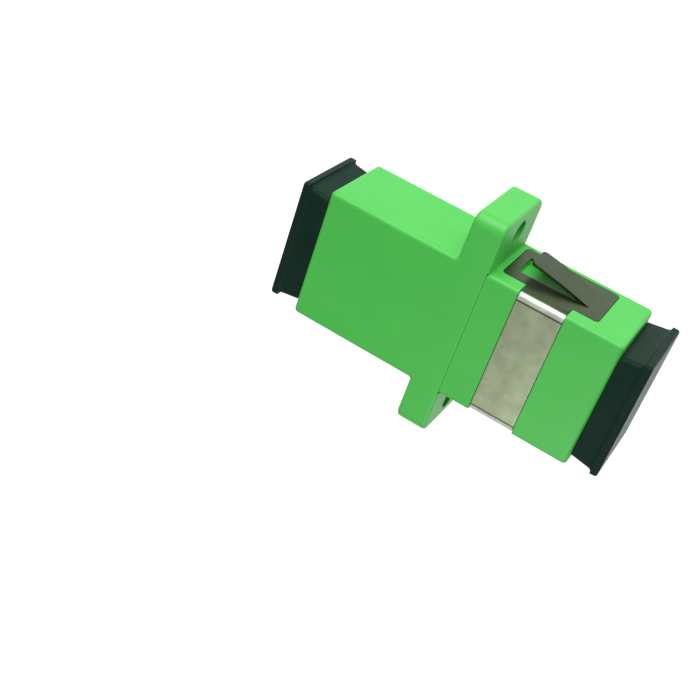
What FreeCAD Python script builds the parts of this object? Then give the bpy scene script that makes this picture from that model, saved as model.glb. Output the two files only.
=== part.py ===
"""SC simplex fibre adapter, flanged, with a spring clip for panel mounting and a dust cap in each port.

Millimetres. Origin: centre of the flange's panel-side face, on the optical axis.
+Y points out of the clip-side port, +X along the flange towards an ear, +Z to the clip's strap face.
The keyway slots open on the -Z face, on which the adapter lies.
"""
import FreeCAD, Part
import os

# Driving dimensions of the housing
WIDTH = 12.8               # body across the narrow faces, X
HEIGHT = 9.0               # plain half and flange, Z
HALF_LENGTH = 12.6         # each half stands this far out of the flange
FLANGE_THICKNESS = 3.0
FLANGE_SPAN = 22.0         # tip to tip of the ears
EAR_RADIUS = 1.1           # rounded ear corners
HOLE_PITCH = 18.0
HOLE_DIAMETER = 2.3
CLIP_HALF_STEP = 0.15      # the clip half lies this much lower on both wide faces
EDGE_RADIUS = 0.4          # moulded outer edges
PANEL_EDGE_RADIUS = 0.3    # edges round the panel-side face
ROOT_RADIUS = 0.25         # concave corner between the plain half and the ears
SEAT_DEPTH = 0.15          # the clip half sits this far into the flange, between the ears
SEAT_PLAY = 0.02
RIB_INNER = 5.7            # ribs by which the clip half locates in the flange, from the axis
RIB_OUTER = 6.1
RIB_DEPTH = 0.7
RIB_ROOT = 0.3
RIB_HALF_HEIGHT = 2.6
RIB_PLAY = 0.05

# Port cavity
PORT_WIDTH = 9.06
PORT_HEIGHT = 7.4
PORT_RADIUS = 0.35
MOUTH_CHAMFER = 0.3
MOUTH_OVERRUN = 0.1
ARM_GROOVE_REACH = 5.1     # side grooves into which the latch arms flex, from the axis
ARM_GROOVE_LENGTH = 9.2
ARM_GROOVE_PLAY = 0.15
KEYWAY_WIDTH = 2.3
KEYWAY_LENGTH = 8.3
KEYWAY_OVERLAP = 0.5       # how far the slot's cut reaches into the cavity

# Spring clip, bent from one sheet
SHEET = 0.25
BEND_RADIUS = 0.9          # outside of the bend
STRAP_START = 2.95
STRAP_END = 7.2
PLATE_START = 0.6
PLATE_END = 9.55
PLATE_BOTTOM = -3.55
PLATE_TOP = 2.65
PLATE_OVERLAP = 1.0        # how far the strap's sides run down into the plates
PLATE_RADIUS = 0.4
WINDOW_START = 1.45
WINDOW_END = 8.2
WINDOW_BOTTOM = -2.05
WINDOW_TOP = 1.15
TONGUE_TIP = 2.25
TONGUE_RAISE = 1.3         # tip above the narrow face
TONGUE_BOW = 0.1
LANCE_GAP = 0.08           # slit beside the tongue
CLIP_PLAY = 0.04           # between the sheet and the recess edges
RELIEF_DEPTH = 0.45        # under each tongue

# Sleeve holders and split sleeve
HOLDER_WIDTH = 10.8
HOLDER_HEIGHT = 7.5
POCKET_WIDTH = 11.0
POCKET_HEIGHT = 7.7
INNER_RADIUS = 0.4         # upright corners of the pocket and of the holders' base plates
BARREL_DIAMETER = 4.9
BARREL_REACH = 6.3         # from the mid-plane
BARREL_CHAMFER = 0.2
BARREL_LIP = 0.5
LIP_BORE = 2.9
SLEEVE_BORE = 2.5
SLEEVE_DIAMETER = 3.2
SLEEVE_LENGTH = 11.4
SLEEVE_SLIT = 0.35
SLEEVE_PLAY = 0.05
ARM_ROOT = 0.5             # where the arms start inside the base plate
ARM_INNER = 3.7
ARM_OUTER = 4.45
ARM_REACH = 9.0
ARM_HALF_WIDTH = 2.0
ARM_CHAMFER = 0.3
HOOK_INNER = 3.1
HOOK_LENGTH = 1.5
HOOK_FLAT = 0.6            # straight part of the hook, before its ramp
HOOK_NOSE = 0.1

# Dust caps
CAP_SEAT = 0.03            # between the collar and the port's end face
COLLAR_WIDTH = 10.7        # at the port's end face
COLLAR_HEIGHT = 8.4
COLLAR_RADIUS = 0.5
COLLAR_LENGTH = 2.07
COLLAR_RINGS = [           # from the port: how far along, growth at the narrow and at the wide faces
    (0.00, 0.00, 0.00),
    (1.60, 0.22, 0.07),
    (1.85, 0.27, 0.09),
    (1.99, 0.34, 0.13),
    (2.07, 0.46, 0.18),
]
RIM_WIDTH = 11.8
RIM_HEIGHT = 8.8
RIM_THICKNESS = 0.68
RIM_RADIUS = 0.35
RIM_EDGE = 0.25            # rounding of the outer face's edges
INSERT_WIDTH = 8.9
INSERT_HEIGHT = 7.26
INSERT_LENGTH = 9.0
INSERT_WALL = 0.8
INSERT_RADIUS = 0.3
INSERT_LEAD = 0.25
INSERT_ROOT = 1.9          # how far the insert runs on inside the collar
HOLLOW_RADIUS = 0.4
HOLLOW_END = 1.0
ARM_CUT_LENGTH = 5.4       # side cut-aways that pass the latch arms
ARM_CUT_HALF_WIDTH = 2.25

MID_PLANE = -FLANGE_THICKNESS / 2
PLAIN_END = -FLANGE_THICKNESS - HALF_LENGTH
BASE_PLATE = FLANGE_THICKNESS / 2 - SEAT_DEPTH
CLIP_HALF_HEIGHT = HEIGHT - 2 * CLIP_HALF_STEP
CUT = 1.0                  # how far cutting tools run past a face
NEAR = 1e-6

AXIS_X = FreeCAD.Vector(1, 0, 0)
AXIS_Y = FreeCAD.Vector(0, 1, 0)
AXIS_Z = FreeCAD.Vector(0, 0, 1)


def box(x, y, z):
    """A block between the (low, high) pairs x, y and z."""
    corner = FreeCAD.Vector(x[0], y[0], z[0])
    return Part.makeBox(x[1] - x[0], y[1] - y[0], z[1] - z[0], corner)


def edges_along(shape, axis):
    """The straight edges that run parallel to an axis."""
    found = []
    for edge in shape.Edges:
        if not isinstance(edge.Curve, Part.Line):
            continue
        if abs(abs(edge.tangentAt(edge.FirstParameter).dot(axis)) - 1) < NEAR:
            found.append(edge)
    return found


def edges_at(shape, y):
    """The edges that lie in the plane of one y."""
    found = []
    for edge in shape.Edges:
        limits = edge.BoundBox
        if abs(limits.YMin - y) < 1e-3 and abs(limits.YMax - y) < 1e-3:
            found.append(edge)
    return found


def bar(width, height, radius, start, end):
    """A rectangular bar along Y, centred on the axis, with its four long edges rounded."""
    block = box((-width / 2, width / 2), (start, end), (-height / 2, height / 2))
    return block.makeFillet(radius, edges_along(block, AXIS_Y))


def section(width, height, radius, y):
    """The closed outline of such a bar, at one y."""
    face = min(bar(width, height, radius, 0, CUT).Faces, key=lambda one: one.CenterOfMass.y)
    wire = face.OuterWire.copy()
    wire.translate(AXIS_Y * y)
    return wire


def rod(diameter, start, end):
    """A round bar along the optical axis."""
    return Part.makeCylinder(diameter / 2, end - start, FreeCAD.Vector(0, start, 0), AXIS_Y)


def outline(points, height, z):
    """A prism on the closed polygon of (x, y) points, from z upwards."""
    corners = [FreeCAD.Vector(x, y, z) for x, y in points]
    return Part.Face(Part.makePolygon(corners + corners[:1])).extrude(AXIS_Z * height)


def both_sides(shape):
    """The shape and its mirror image across the YZ plane."""
    return [shape, shape.mirror(FreeCAD.Vector(0, 0, 0), AXIS_X)]


def mouth(end, outward):
    """The lead-in chamfer of a port whose end face is at y = end."""
    grown = 2 * (MOUTH_CHAMFER + MOUTH_OVERRUN)
    beyond = end + outward * MOUTH_OVERRUN
    wide = section(PORT_WIDTH + grown, PORT_HEIGHT + grown, PORT_RADIUS, beyond)
    narrow = section(PORT_WIDTH, PORT_HEIGHT, PORT_RADIUS, end - outward * MOUTH_CHAMFER)
    return Part.makeLoft([wide, narrow], True, True)


def keyway(end, outward):
    """The key slot through the -Z wall: open at the end face, full round inside."""
    centre = end - outward * (KEYWAY_LENGTH - KEYWAY_WIDTH / 2)
    low, high = sorted((centre, end + outward * CUT))
    floor = -HEIGHT / 2 - CUT
    depth = CUT + HEIGHT / 2 - PORT_HEIGHT / 2 + KEYWAY_OVERLAP
    slot = box((-KEYWAY_WIDTH / 2, KEYWAY_WIDTH / 2), (low, high), (floor, floor + depth))
    return slot.fuse(Part.makeCylinder(KEYWAY_WIDTH / 2, depth, FreeCAD.Vector(0, centre, floor)))


def port(inner, end):
    """Everything cut out of a half between its inner end and its open end."""
    outward = 1 if end > inner else -1
    low, high = sorted((inner, end + outward * CUT))
    hole = bar(PORT_WIDTH, PORT_HEIGHT, PORT_RADIUS, low, high)
    low, high = sorted((inner, inner + outward * ARM_GROOVE_LENGTH))
    half = ARM_HALF_WIDTH + ARM_GROOVE_PLAY
    hole = hole.fuse(box((-ARM_GROOVE_REACH, ARM_GROOVE_REACH), (low, high), (-half, half)))
    return hole.fuse([mouth(end, outward), keyway(end, outward)])


def locating_ribs(play):
    """The two ribs by which the clip half locates in the flange."""
    across = (RIB_INNER - play, RIB_OUTER + play)
    rib = box(across, (-RIB_DEPTH - play, RIB_ROOT), (-RIB_HALF_HEIGHT - play, RIB_HALF_HEIGHT + play))
    return both_sides(rib)


def flange_block():
    """The solid outside of the plain half and the flange, with all its edges rounded."""
    side = WIDTH / 2
    tip = FLANGE_SPAN / 2
    plan = [(-side, PLAIN_END), (side, PLAIN_END), (side, -FLANGE_THICKNESS), (tip, -FLANGE_THICKNESS)]
    plan += [(tip, 0), (-tip, 0), (-tip, -FLANGE_THICKNESS), (-side, -FLANGE_THICKNESS)]
    block = outline(plan, HEIGHT, -HEIGHT / 2)
    roots = []
    for edge in edges_along(block, AXIS_Z):
        centre = edge.CenterOfMass
        if abs(abs(centre.x) - side) < NEAR and abs(centre.y + FLANGE_THICKNESS) < NEAR:
            roots.append(edge)
    block = block.makeFillet(ROOT_RADIUS, roots)
    corners = []
    for edge in edges_along(block, AXIS_Y):
        if abs(edge.CenterOfMass.x) > side + ROOT_RADIUS:
            corners.append(edge)
    block = block.makeFillet(EAR_RADIUS, corners)
    soft = []
    for edge in block.Edges:
        centre = edge.CenterOfMass
        root = centre.y > PLAIN_END + NEAR and abs(abs(centre.x) - side) < ROOT_RADIUS + NEAR
        root_seam = root and abs(centre.z) < NEAR
        ear_seam = abs(centre.y - MID_PLANE) < NEAR
        if centre.y < -NEAR and not root_seam and not ear_seam:
            soft.append(edge)
    block = block.makeFillet(EDGE_RADIUS, soft)
    return block.makeFillet(PANEL_EDGE_RADIUS, edges_at(block, 0))


def flange_housing():
    """The plain half and the flange with its ears, one moulding."""
    shell = flange_block()
    shoulder = MID_PLANE - BASE_PLATE
    shell = shell.cut(port(shoulder, PLAIN_END))
    shell = shell.cut(bar(POCKET_WIDTH, POCKET_HEIGHT, INNER_RADIUS, shoulder, CUT))
    across = (-WIDTH / 2 - SEAT_PLAY, WIDTH / 2 + SEAT_PLAY)
    shell = shell.cut(box(across, (-SEAT_DEPTH, CUT), (-HEIGHT, HEIGHT)))
    for slot in locating_ribs(RIB_PLAY):
        shell = shell.cut(slot)
    for x in (-HOLE_PITCH / 2, HOLE_PITCH / 2):
        hole = rod(HOLE_DIAMETER, -FLANGE_THICKNESS - CUT, CUT)
        hole.translate(AXIS_X * x)
        shell = shell.cut(hole)
    return shell


def strap_band(low, high, start, end):
    """The U-shaped shell, one sheet thick, that the clip is bent to, between two heights and ends."""
    outer = bar(WIDTH, CLIP_HALF_HEIGHT, BEND_RADIUS, start, end)
    inner = bar(WIDTH - 2 * SHEET, CLIP_HALF_HEIGHT - 2 * SHEET, BEND_RADIUS - SHEET, start, end)
    keep = box((-WIDTH, WIDTH), (start, end), (low, high))
    return outer.cut(inner).common(keep)


def clip_recess():
    """The shallow seat of the clip in the housing, with the relief under each tongue."""
    inner = bar(WIDTH - 2 * SHEET, CLIP_HALF_HEIGHT - 2 * SHEET, BEND_RADIUS - SHEET, -CUT, HALF_LENGTH + CUT)
    strap_y = (STRAP_START - CLIP_PLAY, STRAP_END + CLIP_PLAY)
    plate_y = (PLATE_START - CLIP_PLAY, PLATE_END + CLIP_PLAY)
    plate_z = (PLATE_BOTTOM - CLIP_PLAY, PLATE_TOP + CLIP_PLAY)
    seat = box((-WIDTH, WIDTH), strap_y, (0, HEIGHT)).fuse(box((-WIDTH, WIDTH), plate_y, plate_z))
    recess = seat.cut(inner)
    reach = WIDTH / 2 - SHEET - RELIEF_DEPTH
    relief = box((reach, WIDTH), (WINDOW_START, WINDOW_END), (WINDOW_BOTTOM, WINDOW_TOP))
    for pocket in both_sides(relief):
        recess = recess.fuse(pocket)
    return recess


def clip_housing():
    """The clip half: its port, the seat of the clip and the two ribs that locate in the flange."""
    shell = bar(WIDTH, CLIP_HALF_HEIGHT, EDGE_RADIUS, -SEAT_DEPTH, HALF_LENGTH)
    shell = shell.makeFillet(EDGE_RADIUS, edges_at(shell, HALF_LENGTH))
    shell = shell.cut(port(-SEAT_DEPTH, HALF_LENGTH))
    for rib in locating_ribs(0):
        shell = shell.fuse(rib)
    return shell.cut(clip_recess())


def side_plate():
    """One flat side plate with its window, before the strap is joined to it."""
    sheet = (WIDTH / 2 - SHEET, WIDTH / 2)
    plate = box(sheet, (PLATE_START, PLATE_END), (PLATE_BOTTOM, PLATE_TOP))
    plate = plate.makeFillet(PLATE_RADIUS, edges_along(plate, AXIS_X))
    through = (sheet[0] - CUT, sheet[1] + CUT)
    window = box(through, (WINDOW_START, WINDOW_END), (WINDOW_BOTTOM, WINDOW_TOP))
    return plate.cut(window.makeFillet(LANCE_GAP, edges_along(window, AXIS_X)))


def tongue():
    """The lanced tongue: it leaves the plate at the window's outer end and rises towards the flange."""
    low = WIDTH / 2 - SHEET
    high = WIDTH / 2
    middle = (WINDOW_END + TONGUE_TIP) / 2
    rise = TONGUE_RAISE / 2 + TONGUE_BOW
    edges = []
    for level in (low, high):
        start = FreeCAD.Vector(level, WINDOW_END, 0)
        bowed = FreeCAD.Vector(level + rise, middle, 0)
        tip = FreeCAD.Vector(level + TONGUE_RAISE, TONGUE_TIP, 0)
        edges.append(Part.Arc(start, bowed, tip).toShape())
    edges.append(Part.makeLine(edges[0].Vertexes[-1].Point, edges[1].Vertexes[-1].Point))
    edges.append(Part.makeLine(edges[0].Vertexes[0].Point, edges[1].Vertexes[0].Point))
    profile = Part.Face(Part.Wire(Part.__sortEdges__(edges)))
    profile.translate(AXIS_Z * (WINDOW_BOTTOM + LANCE_GAP))
    strip = profile.extrude(AXIS_Z * (WINDOW_TOP - WINDOW_BOTTOM - 2 * LANCE_GAP))
    return strip.makeFillet(PLATE_RADIUS, [edge for edge in edges_along(strip, AXIS_X) if near_tip(edge)])


def near_tip(edge):
    """Whether an edge is at the tongue's free end."""
    return abs(edge.CenterOfMass.y - TONGUE_TIP) < SHEET


def retaining_clip():
    """Strap, two side plates and two tongues, one bent sheet."""
    clip = strap_band(PLATE_TOP - PLATE_OVERLAP, HEIGHT, STRAP_START, STRAP_END)
    for plate in both_sides(side_plate()):
        clip = clip.fuse(plate)
    for lance in both_sides(tongue()):
        clip = clip.fuse(lance)
    return clip.removeSplitter()


def latch_arm():
    """One latch arm with its hook and lead-in ramp, from inside the base plate."""
    shoulder = ARM_REACH - HOOK_LENGTH
    plan = [(ARM_INNER, ARM_ROOT), (ARM_OUTER, ARM_ROOT), (ARM_OUTER, ARM_REACH - ARM_CHAMFER)]
    plan += [(ARM_OUTER - ARM_CHAMFER, ARM_REACH), (ARM_INNER + HOOK_NOSE, ARM_REACH)]
    plan += [(HOOK_INNER, shoulder + HOOK_FLAT), (HOOK_INNER, shoulder), (ARM_INNER, shoulder)]
    return outline(plan, 2 * ARM_HALF_WIDTH, -ARM_HALF_WIDTH)


def sleeve_holder():
    """Base plate from y = 0, sleeve barrel with its end lip, and the two latch arms."""
    holder = bar(HOLDER_WIDTH, HOLDER_HEIGHT, INNER_RADIUS, 0, BASE_PLATE)
    barrel = rod(BARREL_DIAMETER, 0, BARREL_REACH)
    holder = holder.fuse(barrel.makeChamfer(BARREL_CHAMFER, edges_at(barrel, BARREL_REACH)))
    for arm in both_sides(latch_arm()):
        holder = holder.fuse(arm)
    holder = holder.cut(rod(SLEEVE_DIAMETER + 2 * SLEEVE_PLAY, -CUT, BARREL_REACH - BARREL_LIP))
    return holder.cut(rod(LIP_BORE, -CUT, BARREL_REACH + CUT))


def split_sleeve():
    """The alignment sleeve, slit along its whole length."""
    half = SLEEVE_LENGTH / 2
    tube = rod(SLEEVE_DIAMETER, -half, half).cut(rod(SLEEVE_BORE, -half - CUT, half + CUT))
    slit = box((-SLEEVE_SLIT / 2, SLEEVE_SLIT / 2), (-half - CUT, half + CUT), (0, SLEEVE_DIAMETER))
    tube = tube.cut(slit)
    tube.translate(AXIS_Y * MID_PLANE)
    return tube


def collar():
    """The tapered grip of a cap, hollowed where it meets the rim."""
    rings = []
    for along, narrow_side, wide_side in COLLAR_RINGS:
        width = COLLAR_WIDTH + 2 * narrow_side
        height = COLLAR_HEIGHT + 2 * wide_side
        rings.append(section(width, height, COLLAR_RADIUS, CAP_SEAT + along))
    return Part.makeLoft(rings, True, True)


def dust_cap():
    """A cap for a port whose end face is at y = 0 and which is open towards +Y."""
    face = CAP_SEAT + COLLAR_LENGTH
    outer = face + RIM_THICKNESS
    rim = bar(RIM_WIDTH, RIM_HEIGHT, RIM_RADIUS, face, outer)
    shell = collar().fuse(rim.makeFillet(RIM_EDGE, edges_at(rim, outer)))
    insert = bar(INSERT_WIDTH, INSERT_HEIGHT, INSERT_RADIUS, -INSERT_LENGTH, INSERT_ROOT)
    shell = shell.fuse(insert.makeChamfer(INSERT_LEAD, edges_at(insert, -INSERT_LENGTH)))
    inner_width = INSERT_WIDTH - 2 * INSERT_WALL
    inner_height = INSERT_HEIGHT - 2 * INSERT_WALL
    low = -INSERT_LENGTH - CUT
    shell = shell.cut(bar(inner_width, inner_height, HOLLOW_RADIUS, low, HOLLOW_END))
    half = ARM_CUT_HALF_WIDTH
    return shell.cut(box((-WIDTH, WIDTH), (low, ARM_CUT_LENGTH - INSERT_LENGTH), (-half, half)))


def to_plain_side(shape):
    """The same moulding turned half a turn about the strap axis, so that it faces -Y."""
    turned = shape.copy()
    turned.rotate(FreeCAD.Vector(0, MID_PLANE, 0), AXIS_Z, 180)
    return turned


def nodes():
    """Every sub-part in place, by node name."""
    holder = sleeve_holder()
    holder.translate(AXIS_Y * MID_PLANE)
    cap = dust_cap()
    cap.translate(AXIS_Y * HALF_LENGTH)
    return {
        "flange_housing": flange_housing(),
        "clip_housing": clip_housing(),
        "retaining_clip": retaining_clip(),
        "sleeve_holder_clip_side": holder,
        "sleeve_holder_plain_side": to_plain_side(holder),
        "split_sleeve": split_sleeve(),
        "dust_cap_clip_end": cap,
        "dust_cap_plain_end": to_plain_side(cap),
    }


os.makedirs("parts", exist_ok=True)
for name, shape in nodes().items():
    shape.exportStep("parts/" + name + ".step")
    print(name, shape.isValid(), len(shape.Solids), round(shape.Volume, 2))
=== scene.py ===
import math

import bmesh
import bpy
from mathutils import Matrix, Vector


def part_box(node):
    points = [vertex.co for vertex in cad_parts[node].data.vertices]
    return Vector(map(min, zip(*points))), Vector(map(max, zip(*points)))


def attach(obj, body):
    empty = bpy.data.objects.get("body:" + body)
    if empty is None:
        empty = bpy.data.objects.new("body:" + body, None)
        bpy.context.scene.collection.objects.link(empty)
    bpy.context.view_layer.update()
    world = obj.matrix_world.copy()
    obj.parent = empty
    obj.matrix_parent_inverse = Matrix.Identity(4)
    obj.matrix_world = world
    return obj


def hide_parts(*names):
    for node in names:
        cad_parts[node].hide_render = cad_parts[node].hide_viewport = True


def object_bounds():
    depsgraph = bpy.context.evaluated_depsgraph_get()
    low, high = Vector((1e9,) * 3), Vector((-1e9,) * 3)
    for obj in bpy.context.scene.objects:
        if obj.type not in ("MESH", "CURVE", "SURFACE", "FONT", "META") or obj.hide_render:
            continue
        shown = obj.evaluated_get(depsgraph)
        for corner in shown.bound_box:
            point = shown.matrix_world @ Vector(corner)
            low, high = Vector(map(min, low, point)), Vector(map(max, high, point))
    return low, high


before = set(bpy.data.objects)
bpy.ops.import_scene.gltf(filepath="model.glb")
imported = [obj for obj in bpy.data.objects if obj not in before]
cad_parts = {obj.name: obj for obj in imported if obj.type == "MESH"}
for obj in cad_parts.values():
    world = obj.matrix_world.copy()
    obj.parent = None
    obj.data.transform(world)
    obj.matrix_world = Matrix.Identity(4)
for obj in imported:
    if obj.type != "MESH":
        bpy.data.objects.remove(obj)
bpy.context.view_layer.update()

MM = 0.001


def span(node):
    """The (low, high) pairs of a node along X, Y and Z, in millimetres."""
    low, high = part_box(node)
    return [(low[axis] / MM, high[axis] / MM) for axis in range(3)]


# The frame gives the places that everything else is measured from, in millimetres
EAR_TIP = span("flange_housing")[0][1]
PLAIN_END, PANEL_FACE = span("flange_housing")[1]
FLANGE_TOP = span("flange_housing")[2][1]
SIDE = span("clip_housing")[0][1]
RIB_DEPTH = -span("clip_housing")[1][0]
CLIP_END = span("clip_housing")[1][1]
CLIP_TOP = span("clip_housing")[2][1]
PLATE_START, PLATE_END = span("retaining_clip")[1]
PLATE_BOTTOM = span("retaining_clip")[2][0]
CAP_TIP, CAP_FACE = span("dust_cap_clip_end")[1]
RIM_HALF_WIDTH = span("dust_cap_clip_end")[0][1]
RIM_HALF_HEIGHT = span("dust_cap_clip_end")[2][1]
MID_PLANE = sum(span("split_sleeve")[1]) / 2
SLEEVE_HALF = span("split_sleeve")[1][1] - MID_PLANE
HOLDER_HALF_WIDTH = span("sleeve_holder_clip_side")[0][1]
HOLDER_HALF_HEIGHT = span("sleeve_holder_clip_side")[2][1]
ARM_REACH = span("sleeve_holder_clip_side")[1][1] - MID_PLANE

# Housing
FLANGE_REAR = 2 * MID_PLANE - PANEL_FACE
EAR_RADIUS = 1.1
ROOT_RADIUS = 0.25
EDGE_RADIUS = 0.4
PANEL_EDGE_RADIUS = 0.3
SEAT_DEPTH = 0.15
SEAT_PLAY = 0.02
HOLE_OFFSET = 9.0
HOLE_RADIUS = 1.15
PORT_HALF_WIDTH = 4.53
PORT_HALF_HEIGHT = 3.7
PORT_RADIUS = 0.35
MOUTH_CHAMFER = 0.3
ARM_GROOVE_REACH = 5.1
ARM_GROOVE_LENGTH = 9.2
ARM_HALF_WIDTH = 2.0
KEYWAY_HALF_WIDTH = 1.15
KEYWAY_LENGTH = 8.3
KEYWAY_OVERLAP = 0.5       # how far its cut runs into the port
ARM_GROOVE_PLAY = 0.15     # on each side of a latch arm
MOUTH_RUNOUT = 0.1         # how far the flared cut runs past the end face
RIB = (5.7, 6.1)
RIB_HALF_HEIGHT = 2.6
RIB_ROOT = 0.3             # how far a rib runs into its own half
RIB_PLAY = 0.05
HOLDER_POCKET = (5.5, 3.85, 0.4)    # half width, half height and corner radius

# Spring clip
SHEET = 0.25
BEND_RADIUS = 0.9
STRAP_START = 2.95
STRAP_END = 7.2
PLATE_TOP = 2.65
PLATE_RADIUS = 0.4
WINDOW = ((1.45, 8.2), (-2.05, 1.15))
TONGUE_TIP = 2.25
TONGUE_RAISE = 1.3
TONGUE_BOW = 0.1
LANCE_GAP = 0.08
CLIP_PLAY = 0.07
RELIEF_DEPTH = 0.45
STRAP_LAP = 1.0            # how far the strap runs down on a plate
TIP_BAND = 0.05            # the end stretch of a tongue in which its corners are found

# Dust caps
CAP_SEAT = 0.03
RIM_THICKNESS = 0.68
COLLAR_HALF_WIDTH = 5.35   # at the port's end face
COLLAR_HALF_HEIGHT = 4.2
COLLAR_RADIUS = 0.5
RIM_RADIUS = 0.35
RIM_EDGE = 0.25
COLLAR_RINGS = [           # from the port: how far along, growth at the narrow and at the wide faces
    (0.00, 0.00, 0.00),
    (1.60, 0.22, 0.07),
    (1.74, 0.24, 0.08),
    (1.85, 0.27, 0.09),
    (1.93, 0.30, 0.11),
    (1.99, 0.34, 0.13),
    (2.04, 0.40, 0.16),
    (2.07, 0.46, 0.18),
]
RIM_OVERLAP = 0.1          # how far the collar runs on inside the rim
INSERT_HALF_WIDTH = 4.45
INSERT_HALF_HEIGHT = 3.63
INSERT_WALL = 0.8
INSERT_RADIUS = 0.3
INSERT_LEAD = 0.25
INSERT_OVERLAP = 0.2       # how far the insert ends short of the rim, inside the collar
HOLLOW_RADIUS = 0.4
HOLLOW_DEPTH = 1.0         # into the collar
SIDE_OPENING_LENGTH = 5.4
SIDE_OPENING_HALF_HEIGHT = 2.25

# Sleeve holders
BASE_RADIUS = 0.4
BARREL_RADIUS = 2.45
BARREL_ROOT = 0.1          # where the barrel starts inside the base plate
BARREL_LEAD = 0.2
LIP_BORE = 1.45
LIP_LENGTH = 0.5
BARREL_REACH = 6.3
ARM_INNER = 3.7
ARM_OUTER = 4.45
ARM_ROOT = 0.5
ARM_NOSE = (3.8, 4.15)
ARM_NOSE_SLOPE = 0.3
HOOK_INNER = 3.1
HOOK_LENGTH = 1.5
HOOK_RAMP = 0.9
SLEEVE_RADIUS = 1.6
SLEEVE_BORE = 1.25
SLEEVE_PLAY = 0.05
SLIT_HALF_WIDTH = 0.175

CLEAR = 1.0                # how far a cutting block runs past a face
TOUCH = 0.01               # what is closer counts as in the same place
ALONG = 0.9                # the share of its direction that makes an edge run along an axis
CUT_SLIVER = 0.01          # what is shorter is merged before the edges are broken
BEVEL_SLIVER = 0.0005      # and after it


# ---------------------------------------------------------------- shapes, in millimetres

def block(x, y, z):
    """A box between the (low, high) pairs x, y and z."""
    bm = bmesh.new()
    bmesh.ops.create_cube(bm, size=1)
    bmesh.ops.scale(bm, vec=(x[1] - x[0], y[1] - y[0], z[1] - z[0]), verts=bm.verts)
    centre = Vector((x[0] + x[1], y[0] + y[1], z[0] + z[1])) / 2
    bmesh.ops.translate(bm, vec=centre, verts=bm.verts)
    return bm


def edges_where(bm, test):
    """The edges whose middle and direction pass a test."""
    chosen = []
    for edge in bm.edges:
        start, end = edge.verts[0].co, edge.verts[1].co
        if test((start + end) / 2, (end - start).normalized()):
            chosen.append(edge)
    return chosen


def soften(bm, edges, radius, segments):
    """Rounds the edges."""
    bmesh.ops.bevel(
        bm, geom=edges, offset=radius, offset_type="OFFSET", segments=segments,
        profile=0.5, affect="EDGES", material=-1,
    )


def bar(half_width, half_height, radius, y, segments=6):
    """A bar along Y, centred on the axis, with its long edges rounded."""
    bm = block((-half_width, half_width), y, (-half_height, half_height))
    soften(bm, edges_where(bm, lambda middle, way: abs(way.y) > ALONG), radius, segments)
    return bm


def rod(radius, y, segments=64):
    """A round bar along the optical axis."""
    bm = bmesh.new()
    turn = Matrix.Translation((0, (y[0] + y[1]) / 2, 0)) @ Matrix.Rotation(math.pi / 2, 4, "X")
    bmesh.ops.create_cone(
        bm, cap_ends=True, segments=segments, radius1=radius, radius2=radius,
        depth=y[1] - y[0], matrix=turn,
    )
    return bm


def prism(points, z):
    """A prism on a closed outline of (x, y) points, between two heights."""
    bm = bmesh.new()
    face = bm.faces.new([bm.verts.new((x, y, z[0])) for x, y in points])
    grown = bmesh.ops.extrude_face_region(bm, geom=[face])
    raised = [one for one in grown["geom"] if isinstance(one, bmesh.types.BMVert)]
    bmesh.ops.translate(bm, vec=(0, 0, z[1] - z[0]), verts=raised)
    bmesh.ops.recalc_face_normals(bm, faces=bm.faces)
    return bm


def mirrored(bm):
    """A copy of the shape on the other side of the YZ plane."""
    twin = bm.copy()
    bmesh.ops.scale(twin, vec=(-1, 1, 1), verts=twin.verts)
    bmesh.ops.reverse_faces(twin, faces=twin.faces)
    return twin


def pair(bm):
    """The shape and its mirror image across the YZ plane."""
    return [bm, mirrored(bm)]


# ---------------------------------------------------------------- pieces

def solid(name, bm):
    """An object, still in millimetres, from a shape."""
    mesh = bpy.data.meshes.new(name)
    bm.to_mesh(mesh)
    bm.free()
    piece = bpy.data.objects.new(name, mesh)
    bpy.context.scene.collection.objects.link(piece)
    return piece


def apply_modifiers(piece):
    """Makes the result of a piece's modifiers its own mesh."""
    graph = bpy.context.evaluated_depsgraph_get()
    made = bpy.data.meshes.new_from_object(piece.evaluated_get(graph))
    piece.modifiers.clear()
    piece.data = made


def combine(piece, shapes, operation):
    """Adds shapes to a piece (UNION) or cuts them out of it (DIFFERENCE)."""
    for shape in shapes:
        tool = solid("tool", shape)
        joint = piece.modifiers.new("combine", "BOOLEAN")
        joint.operation = operation
        joint.solver = "EXACT"
        joint.object = tool
        apply_modifiers(piece)
        bpy.data.objects.remove(tool)


def add(piece, *shapes):
    combine(piece, shapes, "UNION")


def cut(piece, *shapes):
    combine(piece, shapes, "DIFFERENCE")


def clean(mesh, sliver):
    """Merges corners closer than the sliver and drops faces without area, which the cuts can leave."""
    bm = bmesh.new()
    bm.from_mesh(mesh)
    bmesh.ops.remove_doubles(bm, verts=bm.verts, dist=sliver)
    bmesh.ops.dissolve_degenerate(bm, edges=bm.edges, dist=sliver)
    bm.to_mesh(mesh)
    bm.free()


def even_normals(mesh, limit):
    """Shades across edges flatter than the limit, with the larger faces kept flat."""
    around = [[] for _ in mesh.vertices]
    for face in mesh.polygons:
        for corner in face.vertices:
            around[corner].append((face.normal.copy(), face.area))
    nearest = math.cos(math.radians(limit))
    normals = []
    for face in mesh.polygons:
        for corner in face.vertices:
            total = Vector((0, 0, 0))
            for normal, area in around[corner]:
                if normal.dot(face.normal) > nearest:
                    total += normal * area
            normals.append(total.normalized() if total.length > 0 else face.normal)
    mesh.shade_smooth()
    mesh.normals_split_custom_set(normals)


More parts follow.
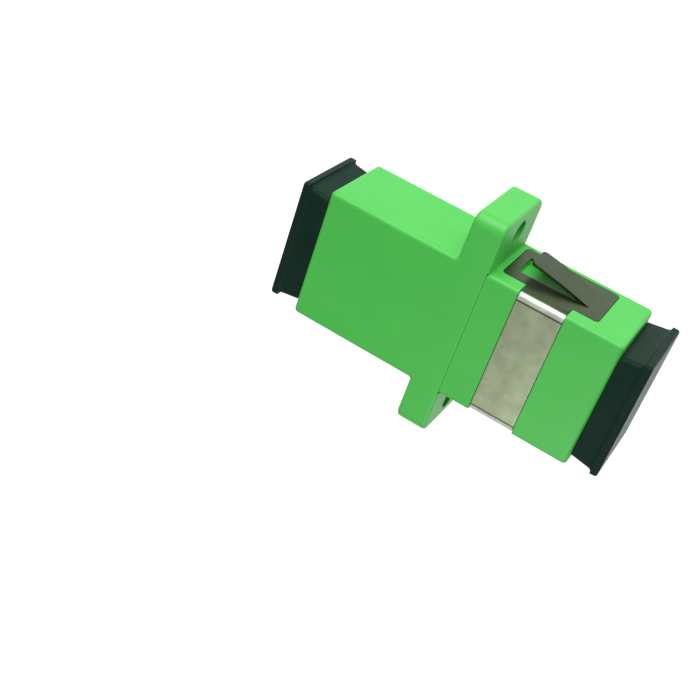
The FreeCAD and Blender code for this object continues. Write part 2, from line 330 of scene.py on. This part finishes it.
def finish_piece(piece, material, body, node, edge=0.06):
    """Breaks a piece's sharp edges, scales it to metres and seats it on its body."""
    clean(piece.data, CUT_SLIVER)
    broken = piece.modifiers.new("broken_edges", "BEVEL")
    broken.width = edge
    broken.segments = 2
    broken.limit_method = "ANGLE"
    broken.angle_limit = math.radians(40)
    apply_modifiers(piece)
    clean(piece.data, BEVEL_SLIVER)
    piece.data.name = piece.name
    even_normals(piece.data, 30)
    piece.data.transform(Matrix.Scale(MM, 4))
    piece.data.materials.clear()
    piece.data.materials.append(material)
    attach(piece, body)
    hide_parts(node)
    return piece


def port_cuts(inner, end):
    """The cuts that make a port between its inner end and its open end."""
    out = 1 if end > inner else -1
    hole = bar(PORT_HALF_WIDTH, PORT_HALF_HEIGHT, PORT_RADIUS, sorted((inner, end + out * CLEAR)))
    half = ARM_HALF_WIDTH + ARM_GROOVE_PLAY
    reach = (-ARM_GROOVE_REACH, ARM_GROOVE_REACH)
    groove = block(reach, sorted((inner, inner + out * ARM_GROOVE_LENGTH)), (-half, half))
    grown = MOUTH_CHAMFER + MOUTH_RUNOUT
    past = end + out * MOUTH_RUNOUT
    mouth = bar(PORT_HALF_WIDTH, PORT_HALF_HEIGHT, PORT_RADIUS, sorted((end - out * MOUTH_CHAMFER, past)))
    flared = [vert for vert in mouth.verts if abs(vert.co.y - past) < TOUCH]
    scale = (1 + grown / PORT_HALF_WIDTH, 1, 1 + grown / PORT_HALF_HEIGHT)
    bmesh.ops.scale(mouth, vec=scale, verts=flared)
    floor = -FLANGE_TOP - CLEAR
    middle = end - out * (KEYWAY_LENGTH - KEYWAY_HALF_WIDTH)
    width = (-KEYWAY_HALF_WIDTH, KEYWAY_HALF_WIDTH)
    ceiling = -PORT_HALF_HEIGHT + KEYWAY_OVERLAP
    slot = block(width, sorted((middle, end + out * CLEAR)), (floor, ceiling))
    round_end = rod(KEYWAY_HALF_WIDTH, (0, ceiling - floor), 48)
    upright = Matrix.Translation((0, middle, floor)) @ Matrix.Rotation(math.pi / 2, 4, "X")
    bmesh.ops.transform(round_end, matrix=upright, verts=round_end.verts)
    return [hole, groove, mouth, slot, round_end]


def rib_blocks(play):
    """The two ribs by which the clip half locates in the flange."""
    half_height = RIB_HALF_HEIGHT + play
    rib = block((RIB[0] - play, RIB[1] + play), (-RIB_DEPTH - play, RIB_ROOT), (-half_height, half_height))
    return pair(rib)


def sharp_edges(bm):
    """The edges between faces that meet at about a right angle."""
    return [edge for edge in bm.edges if edge.calc_face_angle(0) > 1]


def at_panel(edge):
    """Whether an edge lies in the plane of the flange's panel-side face."""
    return all(abs(vert.co.y - PANEL_FACE) < TOUCH for vert in edge.verts)


def flange_housing(material):
    """The plain half and the flange with its ears, one moulding."""
    plan = [(-SIDE, PLAIN_END), (SIDE, PLAIN_END), (SIDE, FLANGE_REAR), (EAR_TIP, FLANGE_REAR)]
    plan += [(EAR_TIP, PANEL_FACE), (-EAR_TIP, PANEL_FACE), (-EAR_TIP, FLANGE_REAR), (-SIDE, FLANGE_REAR)]
    bm = prism(plan, (-FLANGE_TOP, FLANGE_TOP))

    def is_ear_corner(middle, way):
        return abs(way.y) > ALONG and abs(middle.x) > (SIDE + EAR_TIP) / 2

    def is_root(middle, way):
        at_side = abs(abs(middle.x) - SIDE) < TOUCH
        return abs(way.z) > ALONG and at_side and abs(middle.y - FLANGE_REAR) < TOUCH

    soften(bm, edges_where(bm, is_ear_corner), EAR_RADIUS, 8)
    soften(bm, edges_where(bm, is_root), ROOT_RADIUS, 5)
    soften(bm, [edge for edge in sharp_edges(bm) if not at_panel(edge)], EDGE_RADIUS, 6)
    soften(bm, [edge for edge in sharp_edges(bm) if at_panel(edge)], PANEL_EDGE_RADIUS, 5)
    piece = solid("flange_housing_shell", bm)
    shoulder = FLANGE_REAR + SEAT_DEPTH
    cut(piece, *port_cuts(shoulder, PLAIN_END))
    cut(piece, bar(*HOLDER_POCKET, (shoulder, PANEL_FACE + CLEAR)))
    across = (-SIDE - SEAT_PLAY, SIDE + SEAT_PLAY)
    tall = (-2 * FLANGE_TOP, 2 * FLANGE_TOP)
    cut(piece, block(across, (PANEL_FACE - SEAT_DEPTH, PANEL_FACE + CLEAR), tall))
    cut(piece, *rib_blocks(RIB_PLAY))
    for x in (-HOLE_OFFSET, HOLE_OFFSET):
        hole = rod(HOLE_RADIUS, (FLANGE_REAR - CLEAR, PANEL_FACE + CLEAR))
        bmesh.ops.translate(hole, vec=(x, 0, 0), verts=hole.verts)
        cut(piece, hole)
    return finish_piece(piece, material, "adapter", "flange_housing")


def inside_of_clip(y):
    """The space that the bent sheet wraps round."""
    return bar(SIDE - SHEET, CLIP_TOP - SHEET, BEND_RADIUS - SHEET, y, 8)


def clip_housing(material):
    """The clip half with the seat of the spring clip and the relief under each tongue."""
    start = PANEL_FACE - SEAT_DEPTH
    bm = block((-SIDE, SIDE), (start, CLIP_END), (-CLIP_TOP, CLIP_TOP))
    soften(bm, edges_where(bm, lambda middle, way: middle.y > PANEL_FACE + TOUCH), EDGE_RADIUS, 6)
    piece = solid("clip_housing_shell", bm)
    cut(piece, *port_cuts(start, CLIP_END))
    add(piece, *rib_blocks(0))
    wide = (-SIDE - CLEAR, SIDE + CLEAR)
    strap_y = (STRAP_START - CLIP_PLAY, STRAP_END + CLIP_PLAY)
    plate_y = (PLATE_START - CLIP_PLAY, PLATE_END + CLIP_PLAY)
    seat = solid("seat", block(wide, strap_y, (0, FLANGE_TOP + CLEAR)))
    pocket = block(wide, plate_y, (PLATE_BOTTOM - CLIP_PLAY, PLATE_TOP + CLIP_PLAY))
    soften(pocket, edges_where(pocket, lambda middle, way: abs(way.x) > ALONG), PLATE_RADIUS + CLIP_PLAY, 5)
    add(seat, pocket)
    cut(seat, inside_of_clip((-CLEAR, CLIP_END + CLEAR)))
    reach = SIDE - SHEET - RELIEF_DEPTH
    add(seat, *pair(block((reach, SIDE + CLEAR), WINDOW[0], WINDOW[1])))
    hollow = bmesh.new()
    hollow.from_mesh(seat.data)
    bpy.data.objects.remove(seat)
    cut(piece, hollow)
    return finish_piece(piece, material, "adapter", "clip_housing")


def tongue():
    """The lanced tongue on the +X side, rising towards the flange in a slight bow."""
    steps = 12
    outer = []
    for step in range(steps + 1):
        along = step / steps
        y = WINDOW[0][1] + (TONGUE_TIP - WINDOW[0][1]) * along
        rise = TONGUE_RAISE * along + 4 * TONGUE_BOW * along * (1 - along)
        outer.append((SIDE + rise, y))
    inner = [(x - SHEET, y) for x, y in reversed(outer)]
    bm = prism(outer + inner, (WINDOW[1][0] + LANCE_GAP, WINDOW[1][1] - LANCE_GAP))
    tip = edges_where(bm, lambda middle, way: abs(way.x) > ALONG and middle.y < TONGUE_TIP + TIP_BAND)
    soften(bm, tip, PLATE_RADIUS, 5)
    return bm


def plate_outline(y, z, radius):
    """A block across the +X sheet with rounded corners."""
    bm = block((SIDE - SHEET - CLEAR, SIDE + CLEAR), y, z)
    soften(bm, edges_where(bm, lambda middle, way: abs(way.x) > ALONG), radius, 5)
    return bm


def retaining_clip(material):
    """Strap, two side plates and two lanced tongues, one bent sheet."""
    strap = solid("spring_clip", bar(SIDE, CLIP_TOP, BEND_RADIUS, (STRAP_START, STRAP_END), 8))
    cut(strap, inside_of_clip((STRAP_START - CLEAR, STRAP_END + CLEAR)))
    wide = (-SIDE - CLEAR, SIDE + CLEAR)
    below = (-FLANGE_TOP - CLEAR, PLATE_TOP - STRAP_LAP)
    cut(strap, block(wide, (STRAP_START - CLEAR, STRAP_END + CLEAR), below))
    plate = block((SIDE - SHEET, SIDE), (PLATE_START, PLATE_END), (PLATE_BOTTOM, PLATE_TOP))
    soften(plate, edges_where(plate, lambda middle, way: abs(way.x) > ALONG), PLATE_RADIUS, 5)
    add(strap, *pair(plate))
    cut(strap, *pair(plate_outline(WINDOW[0], WINDOW[1], LANCE_GAP)))
    add(strap, *pair(tongue()))
    return finish_piece(strap, material, "adapter", "retaining_clip", edge=0.035)


def facing(bm, out, face_y):
    """Moves a shape made for a face at y = 0, open towards +Y, to a port's end face."""
    if out < 0:
        bmesh.ops.rotate(bm, cent=(0, 0, 0), matrix=Matrix.Rotation(math.pi, 3, "Z"), verts=bm.verts)
    bmesh.ops.translate(bm, vec=(0, face_y, 0), verts=bm.verts)
    return bm


def rounded_ring(bm, half_width, half_height, radius, y, segments=8):
    """The corners of a rounded rectangle at one y, in order round it."""
    verts = []
    for quarter, (x_sign, z_sign) in enumerate(((1, 1), (-1, 1), (-1, -1), (1, -1))):
        for step in range(segments + 1):
            angle = math.radians(90 * (quarter + step / segments))
            x = x_sign * (half_width - radius) + radius * math.cos(angle)
            z = z_sign * (half_height - radius) + radius * math.sin(angle)
            verts.append(bm.verts.new((x, y, z)))
    return verts


def collar():
    """The tapered grip of a cap, hollowed where it meets the rim."""
    bm = bmesh.new()
    rings = []
    for along, narrow, wide in COLLAR_RINGS:
        size = (COLLAR_HALF_WIDTH + narrow, COLLAR_HALF_HEIGHT + wide, COLLAR_RADIUS)
        rings.append(rounded_ring(bm, *size, CAP_SEAT + along))
    rings.append(rounded_ring(bm, *size, CAP_SEAT + along + RIM_OVERLAP))
    for ring, following in zip(rings, rings[1:]):
        for here in range(len(ring)):
            bm.faces.new((ring[here - 1], ring[here], following[here], following[here - 1]))
    bm.faces.new(rings[0])
    bm.faces.new(rings[-1])
    bmesh.ops.recalc_face_normals(bm, faces=bm.faces)
    return bm


def dust_cap(name, material, body, node, out, face_y):
    """Rim, waisted collar and hollow insert, one moulding."""
    reach = CAP_FACE - CLIP_END
    tip = CAP_TIP - CLIP_END
    rim_y = reach - RIM_THICKNESS
    piece = solid(name, facing(collar(), out, face_y))

    def placed(shape):
        return facing(shape, out, face_y)

    rim = bar(RIM_HALF_WIDTH, RIM_HALF_HEIGHT, RIM_RADIUS, (rim_y, reach))
    soften(rim, edges_where(rim, lambda middle, way: middle.y > reach - TOUCH), RIM_EDGE, 5)
    add(piece, placed(rim))
    insert = bar(INSERT_HALF_WIDTH, INSERT_HALF_HEIGHT, INSERT_RADIUS, (tip, rim_y - INSERT_OVERLAP))
    soften(insert, edges_where(insert, lambda middle, way: middle.y < tip + TOUCH), INSERT_LEAD, 1)
    add(piece, placed(insert))
    inside = (INSERT_HALF_WIDTH - INSERT_WALL, INSERT_HALF_HEIGHT - INSERT_WALL, HOLLOW_RADIUS)
    cut(piece, placed(bar(*inside, (tip - CLEAR, HOLLOW_DEPTH))))
    wide = (-SIDE - CLEAR, SIDE + CLEAR)
    opening = (-SIDE_OPENING_HALF_HEIGHT, SIDE_OPENING_HALF_HEIGHT)
    cut(piece, placed(block(wide, (tip - CLEAR, tip + SIDE_OPENING_LENGTH), opening)))
    return finish_piece(piece, material, body, node, edge=0.08)


def latch_arm():
    """One latch arm with its hook and lead-in ramp."""
    shoulder = ARM_REACH - HOOK_LENGTH
    plan = [(ARM_INNER, ARM_ROOT), (ARM_OUTER, ARM_ROOT), (ARM_OUTER, ARM_REACH - ARM_NOSE_SLOPE)]
    plan += [(ARM_NOSE[1], ARM_REACH), (ARM_NOSE[0], ARM_REACH)]
    plan += [(HOOK_INNER, ARM_REACH - HOOK_RAMP), (HOOK_INNER, shoulder), (ARM_INNER, shoulder)]
    return prism(plan, (-ARM_HALF_WIDTH, ARM_HALF_WIDTH))


def sleeve_holder(name, material, node, out):
    """Base plate, sleeve barrel and two latch arms, one moulding."""
    thickness = PANEL_FACE - SEAT_DEPTH - MID_PLANE
    base = bar(HOLDER_HALF_WIDTH, HOLDER_HALF_HEIGHT, BASE_RADIUS, (0, thickness))
    piece = solid(name, facing(base, out, MID_PLANE))
    barrel = rod(BARREL_RADIUS, (BARREL_ROOT, BARREL_REACH))
    soften(barrel, edges_where(barrel, lambda middle, way: middle.y > BARREL_REACH - TOUCH), BARREL_LEAD, 2)
    add(piece, facing(barrel, out, MID_PLANE))
    for arm in pair(latch_arm()):
        add(piece, facing(arm, out, MID_PLANE))
    sleeve_room = rod(SLEEVE_RADIUS + SLEEVE_PLAY, (-CLEAR, BARREL_REACH - LIP_LENGTH))
    cut(piece, facing(sleeve_room, out, MID_PLANE))
    cut(piece, facing(rod(LIP_BORE, (-CLEAR, BARREL_REACH + CLEAR)), out, MID_PLANE))
    return finish_piece(piece, material, "adapter", node)


def split_sleeve(material):
    """The alignment sleeve, slit along its whole length."""
    ends = (MID_PLANE - SLEEVE_HALF, MID_PLANE + SLEEVE_HALF)
    past = (ends[0] - CLEAR, ends[1] + CLEAR)
    piece = solid("alignment_sleeve", rod(SLEEVE_RADIUS, ends))
    slit = block((-SLIT_HALF_WIDTH, SLIT_HALF_WIDTH), past, (0, SLEEVE_RADIUS + CLEAR))
    cut(piece, rod(SLEEVE_BORE, past), slit)
    return finish_piece(piece, material, "adapter", "split_sleeve", edge=0.05)


# ---------------------------------------------------------------- finishes

def new_material(name):
    """A node material: its nodes, its links, its shader and the object coordinates."""
    material = bpy.data.materials.new(name)
    material.use_nodes = True
    nodes = material.node_tree.nodes
    links = material.node_tree.links
    place = nodes.new("ShaderNodeTexCoord").outputs["Object"]
    return material, nodes, links, nodes["Principled BSDF"], place


def noise(nodes, links, place, size, detail=4.0, stretch=(1, 1, 1)):
    """A noise whose features are about size millimetres across, stretched along the axes."""
    mapping = nodes.new("ShaderNodeMapping")
    mapping.inputs["Scale"].default_value = [1 / one for one in stretch]
    texture = nodes.new("ShaderNodeTexNoise")
    texture.inputs["Scale"].default_value = 1 / (size * MM)
    texture.inputs["Detail"].default_value = detail
    links.new(place, mapping.inputs["Vector"])
    links.new(mapping.outputs["Vector"], texture.inputs["Vector"])
    return texture.outputs["Fac"]


def between(nodes, links, factor, low, high):
    """A number that varies between low and high with a noise."""
    ranged = nodes.new("ShaderNodeMapRange")
    ranged.inputs["From Min"].default_value = 0.3
    ranged.inputs["From Max"].default_value = 0.7
    ranged.inputs["To Min"].default_value = low
    ranged.inputs["To Max"].default_value = high
    links.new(factor, ranged.inputs["Value"])
    return ranged.outputs["Result"]


def blend_colours(nodes, links, factor, first, second):
    """A colour between two, by a noise."""
    mix = nodes.new("ShaderNodeMix")
    mix.data_type = "RGBA"
    links.new(between(nodes, links, factor, 0, 1), mix.inputs["Factor"])
    mix.inputs[6].default_value = (*first, 1)
    mix.inputs[7].default_value = (*second, 1)
    return mix.outputs[2]


def grain(nodes, links, shader, factor, depth):
    """A bump of that depth in millimetres."""
    bump = nodes.new("ShaderNodeBump")
    bump.inputs["Strength"].default_value = 1.0
    bump.inputs["Distance"].default_value = depth * MM
    links.new(factor, bump.inputs["Height"])
    links.new(bump.outputs["Normal"], shader.inputs["Normal"])


def linear(red, green, blue):
    """A colour given on the 0 to 255 display scale, as the shaders take it."""
    values = []
    for value in (red, green, blue):
        value = value / 255
        values.append(value / 12.92 if value <= 0.04045 else ((value + 0.055) / 1.055) ** 2.4)
    return tuple(values)


def moulded_green(name, first, second):
    """Satin moulded plastic with a faint spark-eroded grain."""
    material, nodes, links, shader, place = new_material(name)
    cloudy = noise(nodes, links, place, 5.0, 3.0)
    links.new(blend_colours(nodes, links, cloudy, first, second), shader.inputs["Base Color"])
    fine = noise(nodes, links, place, 0.12, 3.0)
    links.new(between(nodes, links, fine, 0.40, 0.50), shader.inputs["Roughness"])
    grain(nodes, links, shader, fine, 0.004)
    shader.inputs["Specular IOR Level"].default_value = 0.5
    return material


def cap_black():
    """Black plastic with a green cast and a slight sheen."""
    material, nodes, links, shader, place = new_material("cap_black_plastic")
    cloudy = noise(nodes, links, place, 3.0, 4.0)
    colour = blend_colours(nodes, links, cloudy, linear(17, 43, 33), linear(23, 49, 39))
    links.new(colour, shader.inputs["Base Color"])
    fine = noise(nodes, links, place, 0.15, 3.0)
    links.new(between(nodes, links, fine, 0.34, 0.44), shader.inputs["Roughness"])
    grain(nodes, links, shader, fine, 0.003)
    shader.inputs["Specular IOR Level"].default_value = 0.05
    return material


def tones_by_width(nodes, links, place, tones):
    """A colour that changes with the distance from the middle plane, by (millimetres, colour) stops."""
    apart = nodes.new("ShaderNodeSeparateXYZ")
    links.new(place, apart.inputs["Vector"])
    distance = nodes.new("ShaderNodeMath")
    distance.operation = "ABSOLUTE"
    links.new(apart.outputs["X"], distance.inputs[0])
    share = nodes.new("ShaderNodeMath")
    share.operation = "DIVIDE"
    share.inputs[1].default_value = SIDE * MM
    links.new(distance.outputs["Value"], share.inputs[0])
    ramp = nodes.new("ShaderNodeValToRGB")
    ramp.color_ramp.elements.remove(ramp.color_ramp.elements[0])
    ramp.color_ramp.elements[0].color = (*tones[-1][1], 1)
    for x, colour in tones:
        stop = ramp.color_ramp.elements.new(x / SIDE)
        stop.color = (*colour, 1)
    links.new(share.outputs["Value"], ramp.inputs["Fac"])
    return ramp.outputs["Color"]


def rolled_steel():
    """Thin stainless sheet: plain strap; a painted highlight across the bends with a thin painted dark
    reflection line beside each; side plates painted darker as a painted reflection of dark surroundings;
    faint random mottling.
    """
    material, nodes, links, shader, place = new_material("rolled_stainless")
    # The strap's own colour, then two painted colours: a painted dark reflection and a painted highlight
    plain = linear(137, 146, 119)
    painted_dark_reflection = linear(68, 81, 56)
    painted_bend_highlight = linear(182, 184, 172)
    # Outward from the middle plane: strap colour, a thin painted dark reflection line, the painted
    # highlight across the bend, then the side plates in painted dark reflection
    tones = ((5.46, plain), (5.54, painted_dark_reflection), (5.62, painted_dark_reflection), (5.72, painted_bend_highlight), (6.16, painted_bend_highlight), (6.28, painted_dark_reflection))
    tone = tones_by_width(nodes, links, place, tones)
    mottle = noise(nodes, links, place, 1.4, 5.0)
    mix = nodes.new("ShaderNodeMix")
    mix.data_type = "RGBA"
    mix.blend_type = "MULTIPLY"
    mix.inputs["Factor"].default_value = 1.0
    links.new(tone, mix.inputs[6])
    links.new(between(nodes, links, mottle, 0.78, 1.0), mix.inputs[7])
    links.new(mix.outputs[2], shader.inputs["Base Color"])
    lines = noise(nodes, links, place, 0.08, 2.0, stretch=(40, 1, 40))
    links.new(between(nodes, links, lines, 0.28, 0.38), shader.inputs["Roughness"])
    grain(nodes, links, shader, lines, 0.002)
    shader.inputs["Metallic"].default_value = 1.0
    return material


def sleeve_ceramic():
    """Polished zirconia."""
    material, nodes, links, shader, place = new_material("zirconia")
    cloudy = noise(nodes, links, place, 1.0, 3.0)
    colour = blend_colours(nodes, links, cloudy, linear(236, 233, 224), linear(244, 242, 235))
    links.new(colour, shader.inputs["Base Color"])
    shader.inputs["Roughness"].default_value = 0.15
    grain(nodes, links, shader, cloudy, 0.002)
    return material


# ---------------------------------------------------------------- the adapter

housing_green = moulded_green("housing_green_plastic", linear(68, 195, 72), linear(73, 200, 76))
holder_green = moulded_green("holder_green_plastic", linear(65, 185, 69), linear(70, 191, 73))
black = cap_black()

flange_housing(housing_green)
clip_housing(housing_green)
retaining_clip(rolled_steel())
dust_cap("dust_cap_clip_side", black, "clip_end_cap", "dust_cap_clip_end", 1, CLIP_END)
dust_cap("dust_cap_plain_side", black, "plain_end_cap", "dust_cap_plain_end", -1, PLAIN_END)
sleeve_holder("latch_holder_clip_side", holder_green, "sleeve_holder_clip_side", 1)
sleeve_holder("latch_holder_plain_side", holder_green, "sleeve_holder_plain_side", -1)
split_sleeve(sleeve_ceramic())


# ---------------------------------------------------------------- floor, light and camera

def white_where_seen(nodes, links):
    """1 on rays from the camera and on those that reflections and glass send on, else 0."""
    path = nodes.new("ShaderNodeLightPath")
    first = nodes.new("ShaderNodeMath")
    first.operation = "MAXIMUM"
    links.new(path.outputs["Is Camera Ray"], first.inputs[0])
    links.new(path.outputs["Is Glossy Ray"], first.inputs[1])
    second = nodes.new("ShaderNodeMath")
    second.operation = "MAXIMUM"
    links.new(first.outputs["Value"], second.inputs[0])
    links.new(path.outputs["Is Transmission Ray"], second.inputs[1])
    return second.outputs["Value"]


def pale_floor():
    """A wide pale floor that takes the object's shadow."""
    bm = bmesh.new()
    bmesh.ops.create_grid(bm, x_segments=1, y_segments=1, size=3)
    bmesh.ops.translate(bm, vec=(0, 0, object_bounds()[0][2] - 0.00002), verts=bm.verts)
    mesh = bpy.data.meshes.new("floor")
    bm.to_mesh(mesh)
    bm.free()
    floor = bpy.data.objects.new("floor", mesh)
    bpy.context.scene.collection.objects.link(floor)
    material = bpy.data.materials.new("floor_white")
    material.use_nodes = True
    nodes = material.node_tree.nodes
    links = material.node_tree.links
    shader = nodes["Principled BSDF"]
    shader.inputs["Base Color"].default_value = (0.8, 0.8, 0.8, 1)
    shader.inputs["Roughness"].default_value = 1.0
    shader.inputs["Specular IOR Level"].default_value = 0.0
    shader.inputs["Emission Color"].default_value = (1, 1, 1, 1)
    glow = nodes.new("ShaderNodeMath")
    glow.operation = "MULTIPLY"
    glow.inputs[1].default_value = 0.82
    links.new(white_where_seen(nodes, links), glow.inputs[0])
    links.new(glow.outputs["Value"], shader.inputs["Emission Strength"])
    mesh.materials.append(material)


def studio_world():
    """White where it is seen, and a plain grey light on the object."""
    world = bpy.data.worlds.new("studio")
    bpy.context.scene.world = world
    world.use_nodes = True
    nodes = world.node_tree.nodes
    links = world.node_tree.links
    ranged = nodes.new("ShaderNodeMapRange")
    ranged.inputs["To Min"].default_value = 0.22
    ranged.inputs["To Max"].default_value = 1.0
    links.new(white_where_seen(nodes, links), ranged.inputs["Value"])
    background = nodes["Background"]
    background.inputs["Color"].default_value = (1, 1, 1, 1)
    links.new(ranged.outputs["Result"], background.inputs["Strength"])


def soft_lamp(name, toward, distance, size, power):
    """A square lamp in a direction from the object, aimed at it."""
    lamp = bpy.data.lights.new(name, "AREA")
    lamp.shape = "SQUARE"
    lamp.size = size
    lamp.energy = power
    lamp_object = bpy.data.objects.new(name, lamp)
    way = Vector(toward).normalized()
    lamp_object.location = way * distance
    lamp_object.rotation_euler = way.to_track_quat("Z", "Y").to_euler()
    bpy.context.scene.collection.objects.link(lamp_object)


def camera():
    """Looks down on the strap face and one narrow face, rolled so that the axis runs down to the right."""
    lens = bpy.data.cameras.new("camera")
    lens.lens = 63.17
    lens.sensor_width = 36
    lens.clip_start = 0.001
    lens.clip_end = 20
    look = Vector((0.54262, -0.26223, -0.79800))
    up = Vector((-0.79002, -0.48205, -0.37880))
    right = look.cross(up)
    turn = Matrix((right, up, -look)).transposed().to_4x4()
    holder = bpy.data.objects.new("camera", lens)
    holder.matrix_world = Matrix.Translation(Vector((-53.41, 20.06, 93.29)) * MM) @ turn
    bpy.context.scene.collection.objects.link(holder)
    bpy.context.scene.camera = holder


pale_floor()
studio_world()
soft_lamp("key", (-0.93, -0.05, 0.34), 0.30, 0.24, 0.92)
soft_lamp("fill", (0.66, 0.25, 0.70), 0.10, 0.05, 0.03)
camera()
bpy.context.scene.view_settings.view_transform = "Standard"
